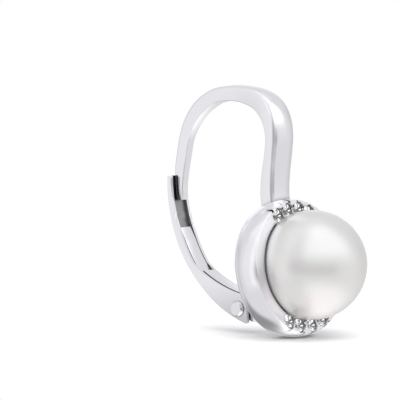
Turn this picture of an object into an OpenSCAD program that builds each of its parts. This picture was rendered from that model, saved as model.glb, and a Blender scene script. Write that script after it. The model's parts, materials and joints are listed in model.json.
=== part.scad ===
// Lever-back pearl earring. The earring hangs from the inside top of its hook, which is the origin.
// The pearl faces -Y, the hook stands over it in +Z, and the lever closes the loop at the back in +Y.
// The shapes are drawn round the pearl's centre, and hung() moves them to their place under the origin.

/* [Pearl] */
// Diameter of the pearl
pearl_d = 8; // [7.5:0.1:8]
// Width of the hole drilled into the back of the pearl for its peg
drill_d = 0.9; // [0.8:0.05:1]
// Depth of that hole, from the back of the pearl
drill_depth = 2.6; // [2:0.1:4]

/* [Ring] */
// Widest diameter of the ring, half way along its rounded band
ring_d = 10.04; // [10.02:0.02:10.2]
// Diameter of the sharp outer edge of the ring's front face
face_d = 9.7; // [9.66:0.02:9.74]
// Distance of the front face behind the pearl's centre
face_y = 1.1; // [1:0.05:1.2]
// Depth of the ring from front to back
ring_depth = 2.4; // [2.3:0.1:2.6]
// Rounding of the band into the ring's back
ring_back_round = 0.5; // [0.3:0.05:0.6]

/* [Stones] */
// Diameter of each small stone
stone_d = 1.08; // [0.9:0.02:1.1]
// Diameter of the circle that the stones' centres stand on
stone_circle_d = 8.6; // [8.56:0.02:8.64]
// Angle of the inner stones from the upright
stone_inner_a = 9.1; // [8.8:0.1:9.2]
// Angle of the outer stones from the upright
stone_outer_a = 24.7; // [24.4:0.1:24.8]
// Half the angle of the sunk sector that holds a row of stones
sector_a = 32.5; // [32:0.5:34]

/* [Lever] */
// Width of the lever over its two side walls
lever_w = 1.8; // [1.75:0.05:1.9]
// Thickness of each side wall
lever_wall = 0.25; // [0.22:0.01:0.28]
// Thickness of the lever's floor, along its outer side
lever_floor = 0.18; // [0.15:0.01:0.18]
// Radius of the lever's bowed back
lever_back_r = 10.57; // [10.56:0.01:10.6]
// Width of the spring strip in the lever
spring_w = 1; // [0.8:0.05:1.1]
// Thickness of the spring strip
spring_t = 0.2; // [0.15:0.01:0.22]

/* [Hinge] */
// Diameter of the hinge pin
pin_d = 0.6; // [0.5:0.02:0.7]
// Diameter of the pin's riveted heads
pin_head_d = 1.2; // [1:0.05:1.3]
// How far each head stands out from the lever
pin_head_h = 0.25; // [0.15:0.01:0.3]

/* [Hidden] */
$fn = 96;
sphere_fn = 200;

// The inside top of the hook, seen from the pearl's centre
hang_y = 6.6;
hang_z = 12.7;

// The small gap between pieces that touch on the real earring, the running gap of the hinge,
// and what a cutting shape reaches past the piece that it cuts
gap = 0.02;
hinge_gap = 0.03;
pearl_gap = 0.06;
cut = 1;

pearl_r = pearl_d / 2;
seat_r = pearl_r + pearl_gap;
ring_r = ring_d / 2;
face_r = face_d / 2;

// The ring is thickest where its inner wall leaves the pearl, and thins towards its back.
// Its band swells from the face's sharp edge, runs nearly straight and rounds into the back.
lip_r = 3.95;
lip_rise = 0.03;
lip_back_r = lip_r - 0.3;
lip_back_y = face_y + 0.4;
ring_waist_y = face_y + 1;
ring_waist_r = sqrt(pow(seat_r, 2) - pow(ring_waist_y, 2));
ring_back_y = face_y + ring_depth;
ring_back_r = 4.3;
edge_y = face_y + 0.05;
bulge_y = face_y + 0.85;
bulge_half = 0.45;
bulge_drop = 0.04;
band_back_r = ring_back_r + ring_back_round + 0.07;
band_back_y = ring_back_y - ring_back_round;

// Stones: the girdle lies just behind the ring's face, with the table forward and the point back
stone_r = stone_d / 2;
girdle_y = face_y + 0.32;
girdle_t = 0.03;
crown_h = 0.16;
table_r = stone_r * 0.56;
pavilion_h = 0.45;
stone_angles = [-stone_outer_a, -stone_inner_a, stone_inner_a, stone_outer_a];

// Sunk sector: its outer wall, and the prongs and the notches that stand along it
rim_r = face_r - 0.11;
prong_d = 0.3;
prong_circle_r = face_r - 0.08;
prong_root = 0.1;
prong_end_y = face_y + 0.02;
prong_angles = [-31.6, -16.9, -1.6, 1.6, 16.9, 31.6];
notch_w = 0.22;

// Strap behind the pearl that joins the hook's foot to the hinge lug, with the cup and peg on it
strap_w = 2;
strap_in_r = 4.2;
strap_out_r = 4.95;
strap_start_y = 2.3;
cup_d = 3.2;
cup_out_r = 4.6;
peg_d = drill_d - 2 * hinge_gap;
peg_end_gap = 0.2;

// Lever: its back and its rim are arcs about one centre, and its ears widen towards the hinge pin
arc_y = 1.8;
arc_z = 6;
arc_hub = [arc_y, arc_z];
lever_top_z = 7.88;
lever_rim_r = 10.05;
lever_in_r = lever_back_r - lever_floor;
lever_in_w = lever_w - 2 * lever_wall;
rim_top_step = 0.1;
ear_end_y = 5.98;
ear_top_z = -1.55;
ear_round = 0.18;
ear_join = [10.2, 0.8];
ear_arc_r = 12;
pin_y = 6.88;
pin_z = -2.43;
fork_r = 1.5;
pin_head_top_d = pin_head_d * 0.78;

// Lug: a tongue of the setting that lies between the lever's ears and ends against the spring strip.
// Its root lies in the ring's back, and its underside runs rearward to the arc of the lever's floor.
lug_w = lever_in_w - 2 * hinge_gap;
lug_back_r = 10.2;
lug_end_r = 4.45;
lug_root = [[4.4, -1.9], [3.1, -3.5], [3.1, -4.17]];
lug_underside_end = [6, -3.47];
lug_back_a = [-64, -20];
lug_back_start_y = 6.3;

// Spring strip, bent along the lever's floor from the lug's end upwards
strip_gap = 0.07;
strip_foot_z = 0;
strip_top_z = 4.05;
strip_back_r = lever_in_r - gap;

// Hook, a row for each section: the place of its middle, its width across and its depth from
// the inside to the outside of the loop, and how far the outside is domed
Y = 0;
Z = 1;
WIDTH = 2;
DEPTH = 3;
DOME = 4;
hook_sections = [
    [2.65, 4.40, 2.28, 1.30, 0.30],
    [2.60, 5.60, 2.16, 1.36, 0.34],
    [2.28, 7.00, 2.07, 1.28, 0.40],
    [1.94, 8.30, 2.02, 1.14, 0.42],
    [1.72, 9.60, 1.98, 1.18, 0.42],
    [1.80, 10.80, 1.90, 1.36, 0.42],
    [2.26, 11.78, 1.80, 1.46, 0.40],
    [3.15, 12.55, 1.60, 1.38, 0.35],
    [4.60, 13.08, 1.40, 1.24, 0.30],
    [6.05, 13.26, 1.26, 1.15, 0.26],
    [7.35, 13.18, 1.14, 1.14, 0.24],
    [8.82, 12.57, 0.96, 1.16, 0.22],
    [9.93, 11.62, 0.82, 1.12, 0.20],
    [10.67, 10.53, 0.72, 1.02, 0.20],
    [11.10, 9.33, 0.64, 0.94, 0.18],
    [11.42, 8.36, 0.62, 0.86, 0.16],
    [11.64, 7.33, 0.58, 0.70, 0.14],
    [11.76, 6.50, 0.54, 0.48, 0.12],
    [11.80, 6.00, 0.40, 0.30, 0.10]
];
steps_per_section = 2;

// A section's outline: the bevel of its inner edges, and its domed shoulders
side_points = 5;
edge_bevel = 0.1;
shoulder_of_dome = 0.75;
shoulder_rise = 0.85;

// Points of an arc in a flat drawing, from angle a to angle b
function arc(centre, r, a, b, n) =
    [for (i = [0:n]) centre + r * [cos(a + (b - a) * i / n), sin(a + (b - a) * i / n)]];

// A list of points in the other order
function reversed(points) = [for (i = [len(points) - 1:-1:0]) points[i]];

// Centre of the arc of radius r from p to q that bows to the right of the way from p to q
function arc_centre(p, q, r) =
    let (half = norm(q - p) / 2, way = (q - p) / norm(q - p))
    (p + q) / 2 + [-way[1], way[0]] * sqrt(r * r - half * half);

// Angle from one point to another
function heading(from, to) = atan2(to[1] - from[1], to[0] - from[0]);

// Top edge of the lever's ears and of the lug, from the front end back to the lever's rim
function ear_edge(n) =
    let (front = [ear_end_y, ear_top_z], centre = arc_centre(front, ear_join, ear_arc_r))
    arc(centre, ear_arc_r, heading(centre, front), heading(centre, ear_join), n);

// Smooth curve through a row of values, part t of the way from value b to value c
function smooth(a, b, c, d, t) =
    0.5 * (2 * b + (c - a) * t + (2 * a - 5 * b + 4 * c - d) * t * t + (3 * b - a - 3 * c + d) * t * t * t);

// One section of the hook, s counted in rows of the table
function hook_at(s) =
    let (last = len(hook_sections) - 1, i = min(floor(s), last - 1), t = s - i)
    smooth(hook_sections[max(i - 1, 0)], hook_sections[i],
        hook_sections[i + 1], hook_sections[min(i + 2, last)], t);

// Half of a section's outline, from the inner edge to the middle of the domed outside
function half_section(w, d, dome) =
    let (h = w / 2, edge = min(edge_bevel, h / 3), shoulder = min(dome * shoulder_of_dome, h * 0.7))
    concat(
        [[h - edge, -d / 2], [h, -d / 2 + edge]],
        [for (k = [0:side_points - 1])
            let (a = 90 * k / (side_points - 1))
            [h - shoulder * (1 - cos(a)), d / 2 - dome + dome * shoulder_rise * sin(a)]],
        [[0, d / 2]]
    );

// Full outline: the half above and its mirror image
function full_section(w, d, dome) =
    let (half = half_section(w, d, dome), n = len(half))
    concat(half, [for (k = [n - 2:-1:0]) [-half[k][0], half[k][1]]]);

// Points of one section in space, square to the hook's run
function hook_ring(s) =
    let (
        row = hook_at(s),
        step = 0.05,
        run = hook_at(min(s + step, len(hook_sections) - 1)) - hook_at(max(s - step, 0)),
        way = [run[Y], run[Z]] / norm([run[Y], run[Z]]),
        out = [-way[1], way[0]]
    )
    [for (p = full_section(row[WIDTH], row[DEPTH], row[DOME]))
        [p[0], row[Y] + out[0] * p[1], row[Z] + out[1] * p[1]]];

module hung() {
    translate([0, -hang_y, -hang_z]) children();
}

// Turns a flat drawing with x = Y and y = Z into a plate of width w across X
module plate(w) {
    rotate([90, 0, 90]) linear_extrude(w, center = true) children();
}

// Turns a drawing with x = radius and y = distance behind the pearl's centre round the Y axis
module turned() {
    rotate([-90, 0, 0]) rotate_extrude() children();
}

// A bar across X through the point y, z
module bar(y, z, d, w) {
    translate([0, y, z]) rotate([0, 90, 0]) cylinder(d = d, h = w, center = true);
}

// Places children at an angle round the ring and a radius from its axis, with the child's +Z outward
module on_ring(angle, r) {
    rotate([0, angle, 0]) translate([0, 0, r]) children();
}

module ring_body() {
    band = [
        [face_r, edge_y],
        [ring_r - bulge_drop, bulge_y - bulge_half],
        [ring_r, bulge_y],
        [ring_r - bulge_drop, bulge_y + bulge_half],
        [band_back_r, band_back_y]
    ];
    round_centre = [band_back_r - ring_back_round, band_back_y];
    difference() {
        turned() polygon(concat(
            [[lip_r, face_y - lip_rise]],
            band,
            arc(round_centre, ring_back_round, 0, 90, 8),
            [[ring_back_r, ring_back_y], [ring_waist_r, ring_waist_y], [lip_back_r, lip_back_y]]
        ));
        sphere(r = seat_r, $fn = sphere_fn);
    }
}

// Flat fan that reaches past the ring, for cutting the sunk sectors
module sector_fan(y0, y1) {
    reach = 2 * ring_r;
    translate([0, y1, 0]) rotate([90, 0, 0]) linear_extrude(y1 - y0) polygon([
        [0, 0],
        [reach * sin(sector_a), reach * cos(sector_a)],
        [-reach * sin(sector_a), reach * cos(sector_a)]
    ]);
}

module sunk_sector() {
    intersection() {
        rotate([90, 0, 0]) translate([0, 0, -girdle_y]) cylinder(r = rim_r, h = cut);
        sector_fan(face_y - cut, girdle_y);
    }
    for (a = stone_angles) {
        on_ring(a, stone_circle_d / 2) stone_shape(gap);
        on_ring(a, face_r) rotate([0, 45, 0]) cube([notch_w, cut, notch_w], center = true);
    }
}

module prongs() {
    for (a = prong_angles) {
        on_ring(a, prong_circle_r) translate([0, girdle_y + prong_root, 0]) rotate([90, 0, 0])
            cylinder(d = prong_d, h = girdle_y + prong_root - prong_end_y);
    }
}

module ring() {
    for (turn = [0, 180]) {
        rotate([0, turn, 0]) prongs();
    }
    difference() {
        ring_body();
        for (turn = [0, 180]) {
            rotate([0, turn, 0]) sunk_sector();
        }
    }
}

// The strap runs round the back of the pearl, and its cup and peg hold the pearl
module strap() {
    difference() {
        bar(0, 0, 2 * strap_out_r, strap_w);
        bar(0, 0, 2 * strap_in_r, strap_w + cut);
        translate([0, strap_start_y - 2 * strap_out_r, 0]) cube(4 * strap_out_r, center = true);
    }
    difference() {
        intersection() {
            rotate([-90, 0, 0]) cylinder(d = cup_d, h = 2 * cup_out_r);
            sphere(r = cup_out_r, $fn = sphere_fn);
        }
        sphere(r = seat_r, $fn = sphere_fn);
    }
    peg_end_y = pearl_r - drill_depth + peg_end_gap;
    translate([0, peg_end_y, 0]) rotate([-90, 0, 0])
        cylinder(d = peg_d, h = (strap_in_r + strap_out_r) / 2 - peg_end_y);
}

module hook() {
    last = (len(hook_sections) - 1) * steps_per_section;
    rings = [for (i = [0:last]) hook_ring(i / steps_per_section)];
    n = len(rings[0]);
    skin = [for (i = [0:last - 1]) for (k = [0:n - 1])
        [i * n + k, i * n + (k + 1) % n, (i + 1) * n + (k + 1) % n, (i + 1) * n + k]];
    polyhedron(
        points = [for (ring = rings) for (p = ring) p],
        faces = concat(skin, [[for (k = [n - 1:-1:0]) k]], [[for (k = [0:n - 1]) last * n + k]]),
        convexity = 6
    );
}

module lug() {
    back = arc(arc_hub, lug_back_r, lug_back_a[0], lug_back_a[1], 28);
    difference() {
        plate(lug_w) intersection() {
            polygon(concat(
                lug_root,
                [lug_underside_end],
                [for (p = back) if (p[0] > lug_back_start_y) p],
                reversed(ear_edge(12))
            ));
            translate([pin_y, pin_z]) circle(r = lug_end_r);
        }
        bar(pin_y, pin_z, pin_d + 2 * hinge_gap, strap_w);
    }
}

module lever_body() {
    top_a = asin((lever_top_z - arc_z) / lever_back_r);
    end_a = -acos((ear_end_y + ear_round - arc_y) / lever_back_r);
    corner = [ear_end_y + ear_round, arc_z + lever_back_r * sin(end_a) + ear_round];
    difference() {
        plate(lever_w) polygon(concat(
            arc(arc_hub, lever_back_r, end_a, top_a, 60),
            [[arc_y + lever_rim_r * cos(top_a) + rim_top_step, lever_top_z]],
            arc(arc_hub, lever_rim_r, top_a - 2, heading(arc_hub, ear_join) + 4, 40),
            reversed(ear_edge(16)),
            arc(corner, ear_round, 180, 260, 6)
        ));
        bar(arc_y, arc_z, 2 * lever_in_r, lever_in_w);
        bar(pin_y, pin_z, 2 * fork_r, lever_in_w);
        bar(pin_y, pin_z, pin_d + 2 * gap, lever_w + cut);
    }
}

// Profile of a stone round its own axis, grown by a margin on every side
module stone_shape(margin) {
    r = stone_r + margin;
    rotate([90, 0, 0]) translate([0, 0, -girdle_y]) rotate_extrude() polygon([
        [0, -pavilion_h - margin],
        [r, -girdle_t / 2],
        [r, girdle_t / 2 + margin],
        [table_r + margin, crown_h + margin],
        [0, crown_h + margin]
    ]);
}

module setting() {
    color("gainsboro") hung() {
        ring();
        strap();
        hook();
        lug();
    }
}

module pearl() {
    color("ivory") hung() difference() {
        sphere(r = pearl_r, $fn = sphere_fn);
        translate([0, pearl_r - drill_depth, 0]) rotate([-90, 0, 0]) cylinder(d = drill_d, h = pearl_r);
    }
}

module stone(turn, number) {
    color("lightcyan") hung() rotate([0, turn, 0])
        on_ring(stone_angles[number - 1], stone_circle_d / 2) stone_shape(0);
}

module lever() {
    color("silver") hung() lever_body();
}

module leaf_spring() {
    color("whitesmoke") hung() difference() {
        intersection() {
            bar(arc_y, arc_z, 2 * strip_back_r, spring_w);
            translate([-spring_w, arc_y, strip_foot_z])
                cube([2 * spring_w, lever_back_r, strip_top_z - strip_foot_z]);
        }
        bar(arc_y, arc_z, 2 * (strip_back_r - spring_t), spring_w + cut);
        bar(pin_y, pin_z, 2 * (lug_end_r + strip_gap), spring_w + cut);
    }
}

module hinge_pin() {
    color("silver") hung() translate([0, pin_y, pin_z]) rotate([0, 90, 0]) {
        cylinder(d = pin_d, h = lever_w + 2 * pin_head_h, center = true);
        for (side = [0, 1]) {
            mirror([0, 0, side]) translate([0, 0, lever_w / 2 + gap])
                cylinder(d1 = pin_head_d, d2 = pin_head_top_d, h = pin_head_h);
        }
    }
}

module stone_top_1() { stone(0, 1); }
module stone_top_2() { stone(0, 2); }
module stone_top_3() { stone(0, 3); }
module stone_top_4() { stone(0, 4); }
module stone_bottom_1() { stone(180, 1); }
module stone_bottom_2() { stone(180, 2); }
module stone_bottom_3() { stone(180, 3); }
module stone_bottom_4() { stone(180, 4); }

setting();
pearl();
lever();
leaf_spring();
hinge_pin();
stone_top_1();
stone_top_2();
stone_top_3();
stone_top_4();
stone_bottom_1();
stone_bottom_2();
stone_bottom_3();
stone_bottom_4();
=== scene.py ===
"""Looks of the lever-back pearl earring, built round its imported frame.

Shapes are drawn in millimetres round the pearl's centre, with X to the right, Y to the back and Z up, as in
the part's source.
"""

import json
import logging
import math
from collections.abc import Sequence
from dataclasses import dataclass
from enum import Enum

import bmesh
import bpy
from mathutils import Matrix, Vector


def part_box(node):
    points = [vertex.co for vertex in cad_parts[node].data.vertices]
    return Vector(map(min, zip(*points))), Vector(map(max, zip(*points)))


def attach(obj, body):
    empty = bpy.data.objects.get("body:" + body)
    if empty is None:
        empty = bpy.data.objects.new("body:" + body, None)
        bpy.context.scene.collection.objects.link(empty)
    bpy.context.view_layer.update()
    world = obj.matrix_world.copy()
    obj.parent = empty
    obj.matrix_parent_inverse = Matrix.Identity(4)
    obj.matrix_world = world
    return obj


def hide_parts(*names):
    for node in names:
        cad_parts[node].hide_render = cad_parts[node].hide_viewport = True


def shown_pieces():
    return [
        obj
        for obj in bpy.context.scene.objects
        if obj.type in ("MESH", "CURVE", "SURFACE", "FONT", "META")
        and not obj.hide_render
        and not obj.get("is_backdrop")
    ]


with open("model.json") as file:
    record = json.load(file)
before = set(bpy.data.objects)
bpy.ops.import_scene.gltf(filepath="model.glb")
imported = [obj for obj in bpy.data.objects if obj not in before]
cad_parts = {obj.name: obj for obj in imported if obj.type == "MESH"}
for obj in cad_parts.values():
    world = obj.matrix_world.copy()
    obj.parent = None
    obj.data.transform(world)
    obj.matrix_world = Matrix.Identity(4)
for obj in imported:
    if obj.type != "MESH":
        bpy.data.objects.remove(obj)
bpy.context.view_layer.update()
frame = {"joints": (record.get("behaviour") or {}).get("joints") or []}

log = logging.getLogger("earring")

MILLIMETRE = 0.001

# The attribute of the facets' painted glow, and the kinds of sockets that node groups have
PAINTED_GLOW = "painted_glow"
FLOAT = "NodeSocketFloat"
VECTOR = "NodeSocketVector"
COLOUR = "NodeSocketColor"

# How near corners are merged and a cut counts as touching, and how long a tool for a bore is
MERGE = 0.0005
HAIR = 1e-6
THROUGH = 3.0

# Rounded edges: steps across one, and the least angle of an edge that is rounded or stays sharp
SOFT_STEPS = 3
SOFT_ANGLE = 40.0
SHARP_ANGLE = 28.0

Point = tuple[float, float]
Colour = tuple[float, float, float, float]


def pearl_centre() -> Vector:
    """Returns the pearl's centre in the row frame, in millimetres."""
    low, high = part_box("pearl")
    return Vector(round(x / MILLIMETRE, 1) for x in (low + high) / 2)


def hinge_axis() -> Point:
    """Returns the place of the lever's hinge as (Y, Z) from the pearl's centre, in millimetres."""
    place = Vector(frame["joints"][0]["pos_m"]) / MILLIMETRE - pearl_centre()
    return round(place.y, 3), round(place.z, 3)


class Body(Enum):
    """The bodies of the frame that pieces ride on."""

    EARRING = "earring"
    LEVER = "lever"


class Slot(Enum):
    """The record's material slots."""

    SETTING = "setting_silver"
    LEVER = "lever_silver"
    STRIP = "spring_strip"
    PIN = "pin_silver"
    PEARL = "pearl"
    STONE = "clear_stone"


class Carve(Enum):
    """What a carving tool does to a blank."""

    AWAY = "DIFFERENCE"
    SHARED = "INTERSECT"


class Axis(Enum):
    """The axis that a profile is turned about or a cone lies along."""

    X = (1.0, 0.0, 0.0)
    Y = (0.0, 1.0, 0.0)


class Row(Enum):
    """The rows of stones, and how far each is turned about the ring's axis, in degrees."""

    TOP = 0
    BOTTOM = 180

    @property
    def angles(self) -> tuple[float, ...]:
        """Gives the places of the row's stones round the ring, in degrees."""
        return (-24.6, -9.0, 7.4, 22.6) if self is Row.TOP else (-23.6, -7.8, 9.4, 24.7)

    @property
    def circle_r(self) -> float:
        """Gives the distance of the row's stones from the ring's axis."""
        return 4.21 if self is Row.TOP else 4.32


@dataclass(frozen=True)
class Corner:
    """A corner of a flat outline, with the radius that it is rounded to."""

    x: float
    y: float
    radius: float = 0.0


def arc(centre: Point, radius: float, start: float, end: float, steps: int) -> list[Point]:
    """Points of an arc in a flat drawing.

    Args:
        centre: middle of the arc.
        radius: its radius.
        start: first angle, in degrees.
        end: last angle, in degrees.
        steps: number of straight steps.

    Returns:
        The points from the first angle to the last.
    """
    angles = [math.radians(start + (end - start) * i / steps) for i in range(steps + 1)]
    return [(centre[0] + radius * math.cos(a), centre[1] + radius * math.sin(a)) for a in angles]


def rounded(corners: Sequence[Corner], steps: int = 4, closed: bool = True) -> list[Point]:
    """Turns the corners of an outline into points, with an arc at each corner that has a radius.

    Args:
        corners: the corners in order.
        steps: number of straight steps in each arc.
        closed: whether the last corner joins the first.

    Returns:
        The outline's points.
    """
    points: list[Point] = []
    count = len(corners)
    for i, corner in enumerate(corners):
        here = Vector((corner.x, corner.y))
        at_end = not closed and i in (0, count - 1)
        if corner.radius <= 0 or at_end:
            points.append((here.x, here.y))
            continue
        before = corners[i - 1]
        after = corners[(i + 1) % count]
        back = (Vector((before.x, before.y)) - here).normalized()
        on = (Vector((after.x, after.y)) - here).normalized()
        half = back.angle(on) / 2
        reach = corner.radius / math.tan(half)
        middle = here + (back + on).normalized() * corner.radius / math.sin(half)
        first = here + back * reach - middle
        turn = first.angle_signed(here + on * reach - middle)
        for k in range(steps + 1):
            leg = Matrix.Rotation(-turn * k / steps, 2) @ first
            points.append((middle.x + leg.x, middle.y + leg.y))
    return points


def bow(start: Point, end: Point, rise: float, steps: int) -> list[Point]:
    """Points of a shallow arc from start to end that swells by rise to the right of its way.

    Args:
        start: first point.
        end: last point.
        rise: height of the arc over its chord.
        steps: number of straight steps.

    Returns:
        The points, both ends among them.
    """
    a, b = Vector(start), Vector(end)
    way = (b - a).normalized()
    side = Vector((way.y, -way.x))
    points = []
    for i in range(steps + 1):
        t = i / steps
        p = a.lerp(b, t) + side * rise * 4 * t * (1 - t)
        points.append((p.x, p.y))
    return points


def dress(shader: bpy.types.Node, **values: object) -> None:
    """Sets a shader's own sockets.

    Args:
        shader: the shader.
        **values: values for its sockets, whose names have _ for a space.
    """
    for name, value in values.items():
        shader.inputs[name.replace("_", " ")].default_value = value


class Wires:
    """Adds nodes to a node tree and joins them."""

    def __init__(self, tree: bpy.types.NodeTree) -> None:
        """Keeps the tree that the nodes go into."""
        self.tree = tree

    def add(self, kind: str, **settings: object) -> bpy.types.Node:
        """Adds a node.

        Args:
            kind: the node's type name, without the leading ShaderNode.
            **settings: values for the node's own properties.

        Returns:
            The new node.
        """
        node = self.tree.nodes.new("ShaderNode" + kind)
        for name, value in settings.items():
            setattr(node, name, value)
        return node

    def put(self, target: bpy.types.NodeSocket, value: object) -> None:
        """Joins a socket to the target, or sets the target's own value.

        Args:
            target: the input socket.
            value: a socket, or a value for the target itself.
        """
        if isinstance(value, bpy.types.NodeSocket):
            self.tree.links.new(value, target)
        else:
            target.default_value = value

    def math(self, operation: str, *values: object) -> bpy.types.NodeSocket:
        """Adds a Math node.

        Args:
            operation: what it works out.
            *values: its inputs in order.

        Returns:
            The result.
        """
        node = self.add("Math", operation=operation)
        for socket, value in zip(node.inputs, values):
            self.put(socket, value)
        return node.outputs[0]

    def share(self, first: object, second: object, part: float) -> bpy.types.NodeSocket:
        """Adds up a part of the first value and the rest of the second.

        Args:
            first: the first value.
            second: the second value.
            part: the first value's part, up to 1.

        Returns:
            The sum.
        """
        rest = self.math("MULTIPLY", second, 1 - part)
        return self.math("ADD", self.math("MULTIPLY", first, part), rest)

    def split(self, vector: object) -> bpy.types.bpy_prop_collection:
        """Splits a vector.

        Args:
            vector: the vector.

        Returns:
            The sockets X, Y and Z.
        """
        node = self.add("SeparateXYZ")
        self.put(node.inputs[0], vector)
        return node.outputs

    def dot(self, vector: object, direction: Vector) -> bpy.types.NodeSocket:
        """Adds a dot product with a fixed direction.

        Args:
            vector: the vector.
            direction: the direction.

        Returns:
            The product.
        """
        node = self.add("VectorMath", operation="DOT_PRODUCT")
        self.put(node.inputs[0], vector)
        self.put(node.inputs[1], direction)
        return node.outputs["Value"]

    def ease(self, value: object, low: float, high: float, to: Point = (0.0, 1.0)) -> bpy.types.NodeSocket:
        """Maps a value smoothly from one range to another.

        Args:
            value: the socket to map.
            low: value that gives the first result.
            high: value that gives the second result.
            to: the two results.

        Returns:
            The mapped socket.
        """
        node = self.add("MapRange", interpolation_type="SMOOTHSTEP")
        self.put(node.inputs["Value"], value)
        self.put(node.inputs["From Min"], low)
        self.put(node.inputs["From Max"], high)
        self.put(node.inputs["To Min"], to[0])
        self.put(node.inputs["To Max"], to[1])
        return node.outputs["Result"]

    def ramp(self, value: object, stops: Sequence[tuple[float, float]]) -> bpy.types.NodeSocket:
        """Adds a grey colour ramp.

        Args:
            value: the socket that drives it.
            stops: (position, grey) pairs in order.

        Returns:
            The ramp's colour.
        """
        node = self.add("ValToRGB")
        self.put(node.inputs["Fac"], value)
        elements = node.color_ramp.elements
        while len(elements) < len(stops):
            elements.new(1.0)
        for element, (position, grey) in zip(elements, stops):
            element.position = position
            element.color = (grey, grey, grey, 1.0)
        return node.outputs["Color"]

    def blend(self, factor: object, first: object, second: object) -> bpy.types.NodeSocket:
        """Mixes two colours.

        Args:
            factor: the second colour's part.
            first: the first colour.
            second: the second colour.

        Returns:
            The mixed colour.
        """
        node = self.add("Mix", data_type="RGBA")
        self.put(node.inputs["Factor"], factor)
        self.put(node.inputs[6], first)
        self.put(node.inputs[7], second)
        return node.outputs[2]

    def noise(self, vector: object, scale: object, detail: float) -> bpy.types.NodeSocket:
        """Adds a noise texture.

        Args:
            vector: the place it is read at.
            scale: its scale.
            detail: its detail.

        Returns:
            Its value.
        """
        node = self.add("TexNoise")
        self.put(node.inputs["Vector"], vector)
        self.put(node.inputs["Scale"], scale)
        self.put(node.inputs["Detail"], detail)
        return node.outputs["Fac"]

    def bump(self, height: object, strength: float, distance: float) -> bpy.types.NodeSocket:
        """Adds a bump.

        Args:
            height: the height.
            strength: how strong it is.
            distance: how high a height of 1 stands, in metres.

        Returns:
            The normal.
        """
        node = self.add("Bump")
        self.put(node.inputs["Strength"], strength)
        self.put(node.inputs["Distance"], distance)
        self.put(node.inputs["Height"], height)
        return node.outputs["Normal"]

    def choose(self, factor: object, first: object, second: object) -> bpy.types.NodeSocket:
        """Mixes two shaders.

        Args:
            factor: the second shader's part.
            first: the first shader.
            second: the second shader.

        Returns:
            The mixed shader.
        """
        node = self.add("MixShader")
        for socket, value in zip(node.inputs, (factor, first, second)):
            self.put(socket, value)
        return node.outputs[0]

    def group(self, tree: bpy.types.NodeTree, **values: object) -> bpy.types.Node:
        """Places a node group.

        Args:
            tree: the group.
            **values: values or sockets for its inputs, whose names have _ for a space.

        Returns:
            The group's node.
        """
        node = self.add("Group", node_tree=tree)
        for name, value in values.items():
            self.put(node.inputs[name.replace("_", " ")], value)
        return node


def new_group(name: str, inputs: dict[str, str], outputs: dict[str, str]) -> tuple[Wires, dict, dict]:
    """Starts a shader node group.

    Args:
        name: the group's name.
        inputs: socket names and their socket types.
        outputs: socket names and their socket types.

    Returns:
        The wires of the new tree, its input sockets by name, and its output sockets by name.
    """
    tree = bpy.data.node_groups.new(name, "ShaderNodeTree")
    for socket, kind in inputs.items():
        tree.interface.new_socket(socket, in_out="INPUT", socket_type=kind)
    for socket, kind in outputs.items():
        tree.interface.new_socket(socket, in_out="OUTPUT", socket_type=kind)
    start = tree.nodes.new("NodeGroupInput")
    end = tree.nodes.new("NodeGroupOutput")
    return Wires(tree), {s.name: s for s in start.outputs}, {s.name: s for s in end.inputs}


@dataclass
class Effects:
    """The node groups that several finishes share."""

    streak_run: tuple[float, float, float] = (1.0, 0.12, 0.35)
    streak_detail: float = 3.0
    cloud_scale: float = 420.0
    cloud_detail: float = 2.0
    cloud_share: float = 0.65
    patchy: Point = (0.3, 0.7)
    # levels and rays of the ambient occlusion behind the painted shade in hollows
    hollow: Point = (0.25, 0.95)
    hollow_rays: int = 8

    def __post_init__(self) -> None:
        """Builds each group once."""
        self.polish = self._polish()
        self.painted_recess_shade = self._painted_recess_shade_group()

    def _polish(self) -> bpy.types.NodeTree:
        """Marks of the polishing wheel: fine streaks, and cloudy patches where the shine is softer.

        Returns:
            The group, which puts out a roughness and a height.
        """
        wires, given, made = new_group(
            "polish_marks",
            {"Vector": VECTOR, "Streak Scale": FLOAT, "Smooth": FLOAT, "Rough": FLOAT},
            {"Roughness": FLOAT, "Height": FLOAT},
        )
        stretch = wires.add("VectorMath", operation="MULTIPLY")
        wires.put(stretch.inputs[0], given["Vector"])
        wires.put(stretch.inputs[1], self.streak_run)
        streaks = wires.noise(stretch.outputs[0], given["Streak Scale"], self.streak_detail)
        clouds = wires.noise(given["Vector"], self.cloud_scale, self.cloud_detail)
        spread = wires.ease(wires.share(clouds, streaks, self.cloud_share), *self.patchy)
        span = wires.math("SUBTRACT", given["Rough"], given["Smooth"])
        wires.put(made["Roughness"], wires.math("MULTIPLY_ADD", spread, span, given["Smooth"]))
        wires.put(made["Height"], streaks)
        return wires.tree

    def _painted_recess_shade_group(self) -> bpy.types.NodeTree:
        """Painted shade in the narrow joints and hollows, darker where ambient occlusion finds the surface
        closed in.

        Returns:
            The group, which puts out a colour.
        """
        wires, given, made = new_group(
            "recess_shade",
            {"Colour": COLOUR, "Dark": COLOUR, "Depth": FLOAT, "Amount": FLOAT},
            {"Colour": COLOUR},
        )
        hollow = wires.add("AmbientOcclusion", samples=self.hollow_rays)
        wires.put(hollow.inputs["Distance"], given["Depth"])
        open_part = wires.ease(hollow.outputs["AO"], *self.hollow)
        closed_part = wires.math("SUBTRACT", 1.0, open_part)
        painted_shade_mask = wires.math("MULTIPLY", closed_part, given["Amount"])
        wires.put(made["Colour"], wires.blend(painted_shade_mask, given["Colour"], given["Dark"]))
        return wires.tree


def new_material(name: str) -> tuple[bpy.types.Material, Wires, bpy.types.Node]:
    """Starts a node material.

    Args:
        name: the material's name.

    Returns:
        The material, its wires and its Principled shader.
    """
    material = bpy.data.materials.new(name)
    material.use_nodes = True
    wires = Wires(material.node_tree)
    return material, wires, material.node_tree.nodes["Principled BSDF"]


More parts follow.
